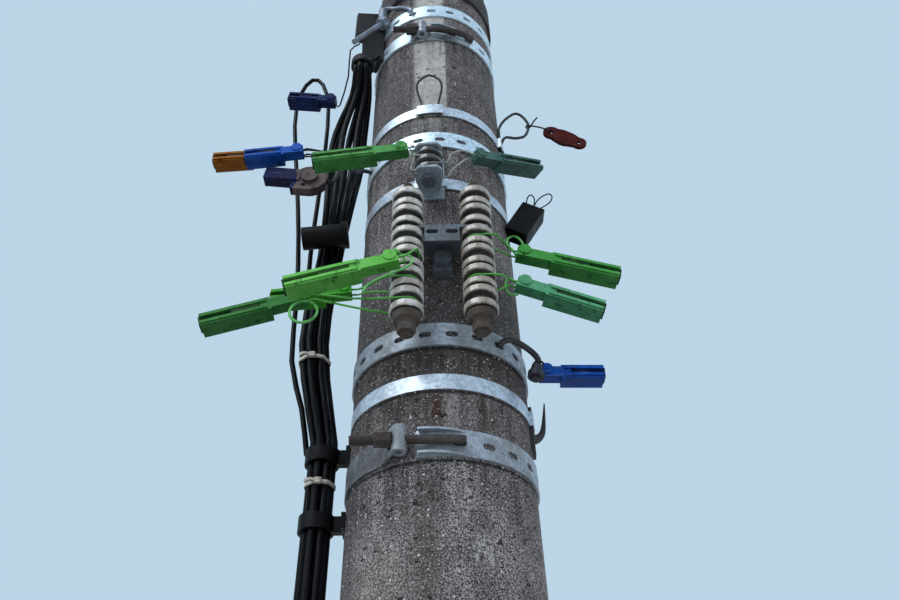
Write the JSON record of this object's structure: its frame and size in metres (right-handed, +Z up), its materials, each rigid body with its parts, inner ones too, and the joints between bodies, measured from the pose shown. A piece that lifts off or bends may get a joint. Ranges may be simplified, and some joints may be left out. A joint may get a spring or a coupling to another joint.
{
  "type": "telephone pole",
  "caption": "Spun concrete telephone pole with steel bands, insulator racks, drop wire clamps, hooks and a guarded cable riser.",
  "frame": {"origin": "centre of the shaft's foot, at ground level", "axes": "+Z up along the shaft, -Y towards the front with the insulator racks, +X to the right"},
  "size_m": [0.5703, 0.3245, 6.038],
  "materials": {
    "concrete": "fine grey-brown concrete",
    "cap_concrete": "weathered mortar",
    "old_steel": "dull, weathered zinc",
    "dark_bolt": "brown, rusted",
    "band_zinc": "bright zinc",
    "strap_steel": "bright strap",
    "hook_wire": "dark wire",
    "bright_bolt": "bright zinc",
    "clevis_zinc": "blue-grey zinc",
    "brown_glaze": "dark purple-brown glaze",
    "white_glaze": "glazed, grimy",
    "green_dark": "sun-worn plastic",
    "green_grey": "sun-worn plastic",
    "green_bright": "sun-worn plastic",
    "green_blue": "sun-worn plastic",
    "blue_plastic": "sun-worn plastic",
    "orange_plastic": "sun-worn plastic",
    "red_plastic": "dull plastic",
    "drum_brown": "dull plastic",
    "wedge_plastic": "dull plastic",
    "bail_plastic": "plastic-coated wire",
    "black_plastic": "black plastic",
    "black_steel": "black paint",
    "cable_sheath": "black sheath",
    "guard_zinc": "grey zinc"
  },
  "bodies": {
    "root": {"shaft": "concrete", "top_cap": "cap_concrete", "head_collar": "old_steel", "collar_bolts": "dark_bolt", "band_1": "band_zinc", "band_2": "band_zinc", "band_3": "band_zinc", "band_4": "band_zinc", "band_5": "band_zinc", "lug_bolts": "dark_bolt", "draw_bolts": "dark_bolt", "strap_1": "strap_steel", "strap_2": "strap_steel", "strap_3": "strap_steel", "wire_hooks": "hook_wire", "side_arm": "old_steel", "arm_bolt": "bright_bolt", "clevis": "clevis_zinc", "front_spool": "brown_glaze", "crossbar": "clevis_zinc", "rack_bolts": "dark_bolt", "rack_rods": "dark_bolt", "spools_left": "white_glaze", "spools_right": "white_glaze", "swan_hook": "hook_wire", "horn_hook": "old_steel", "clamp_green_1": "green_dark", "clamp_green_2": "green_grey", "clamp_green_3": "green_bright", "clamp_green_4": "green_dark", "clamp_green_5": "green_bright", "clamp_green_6": "green_bright", "clamp_green_7": "green_blue", "clamps_blue": "blue_plastic", "clamp_orange": "orange_plastic", "clamp_red": "red_plastic", "drum_clamp": "drum_brown", "clamp_wedges": "wedge_plastic", "clamp_bails": "bail_plastic", "splice_box": "black_plastic", "splice_dome": "black_plastic", "stand_offs": "black_steel", "riser_cables": "cable_sheath", "cable_guard": "guard_zinc", "guard_straps": "strap_steel"}
  },
  "joints": []
}
